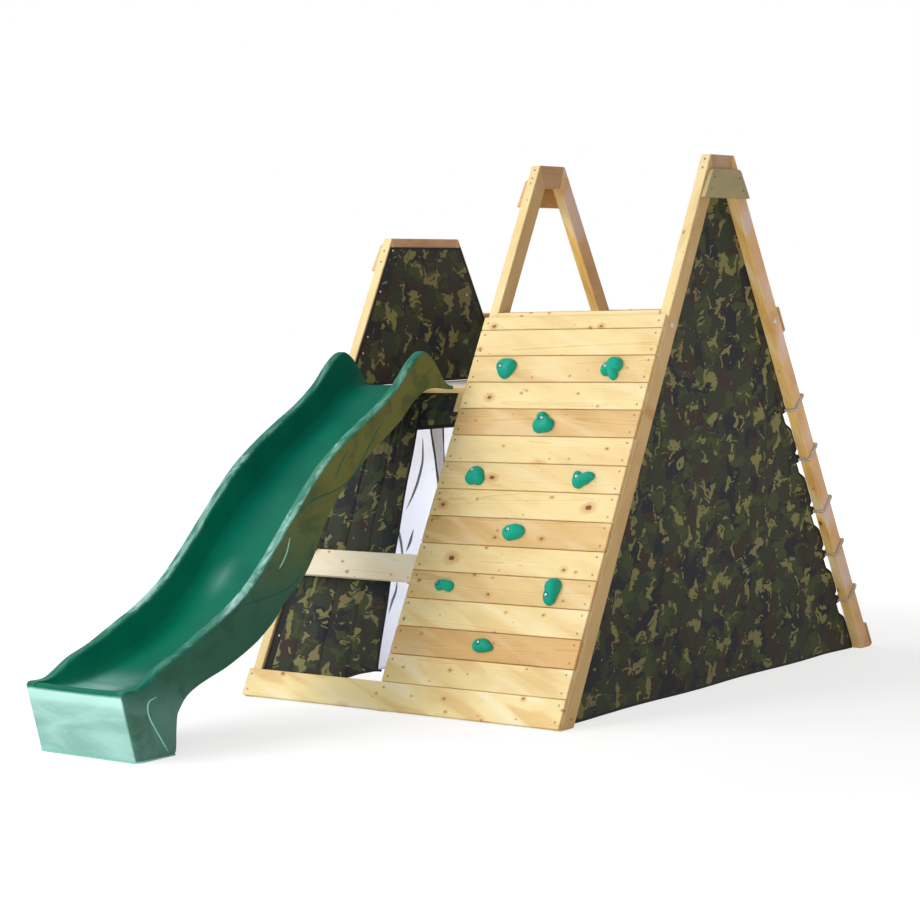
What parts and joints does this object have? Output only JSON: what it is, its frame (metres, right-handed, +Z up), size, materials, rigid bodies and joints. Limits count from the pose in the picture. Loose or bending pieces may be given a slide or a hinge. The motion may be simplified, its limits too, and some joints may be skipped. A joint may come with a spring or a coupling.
{
  "type": "climbing frame with slide",
  "caption": "Wooden A-frame climbing frame with a climbing wall, a wavy plastic slide from a raised deck, camouflage fabric den walls and a rope net at the back.",
  "frame": {"origin": "middle of the footprint, slide included, at the ground", "axes": "+Z up; +Y from the slide's foot to the rope net at the back; +X from the slide's bay to the climbing wall's bay, so that -Y is the front"},
  "size_m": [1.3786, 3.2, 1.83],
  "materials": {
    "pine_pale": "planed, matt",
    "pine_tan": "planed, matt",
    "pine_aged": "planed, matt",
    "pine_pink": "planed, matt",
    "slide_green": "blow-moulded, soft gloss",
    "hold_green": "moulded, fine texture",
    "camouflage_cloth": "printed woven polyester, pale inside",
    "rope_grey": "twisted rope",
    "bolt_zinc": "zinc-plated"
  },
  "bodies": {
    "root": {"doorway_valance": "camouflage_cloth", "front_den_panel": "camouflage_cloth", "front_kick_board": "pine_pale", "front_top_rail": "pine_pale", "hold_1": "hold_green", "hold_2": "hold_green", "hold_3": "hold_green", "hold_4": "hold_green", "hold_5": "hold_green", "hold_6": "hold_green", "hold_7": "hold_green", "hold_8": "hold_green", "hold_9": "hold_green", "left_apex_plate": "pine_tan", "left_deck": "pine_pale", "left_deck_screen": "camouflage_cloth", "left_den_wall": "camouflage_cloth", "left_front_leg": "pine_pale", "left_joist": "pine_tan", "left_rear_leg": "pine_tan", "left_top_beam": "pine_pink", "middle_apex_block": "pine_pink", "middle_apex_plate": "pine_tan", "middle_front_bolt": "bolt_zinc", "middle_front_leg": "pine_pale", "middle_left_joist": "pine_tan", "middle_rear_bolt": "bolt_zinc", "middle_rear_leg": "pine_tan", "middle_right_joist": "pine_tan", "rear_guard_board": "pine_tan", "rear_kick_board": "pine_tan", "rear_top_rail": "pine_pale", "right_apex_block": "pine_pink", "right_apex_plate": "pine_aged", "right_deck": "pine_pale", "right_front_bolt": "bolt_zinc", "right_front_leg": "pine_pale", "right_joist": "pine_tan", "right_rear_bolt": "bolt_zinc", "right_rear_leg": "pine_tan", "right_side_cover": "camouflage_cloth", "rope_net": "rope_grey", "slide": "slide_green", "step_board": "pine_pale", "step_cleat": "pine_tan", "wall_board_01": "pine_pale", "wall_board_02": "pine_pale", "wall_board_03": "pine_tan", "wall_board_04": "pine_pale", "wall_board_05": "pine_tan", "wall_board_06": "pine_pale", "wall_board_07": "pine_tan", "wall_board_08": "pine_pale", "wall_board_09": "pine_tan", "wall_board_10": "pine_pale", "wall_board_11": "pine_tan", "wall_board_12": "pine_pale", "wall_board_13": "pine_tan", "wall_board_14": "pine_pale"}
  },
  "joints": []
}
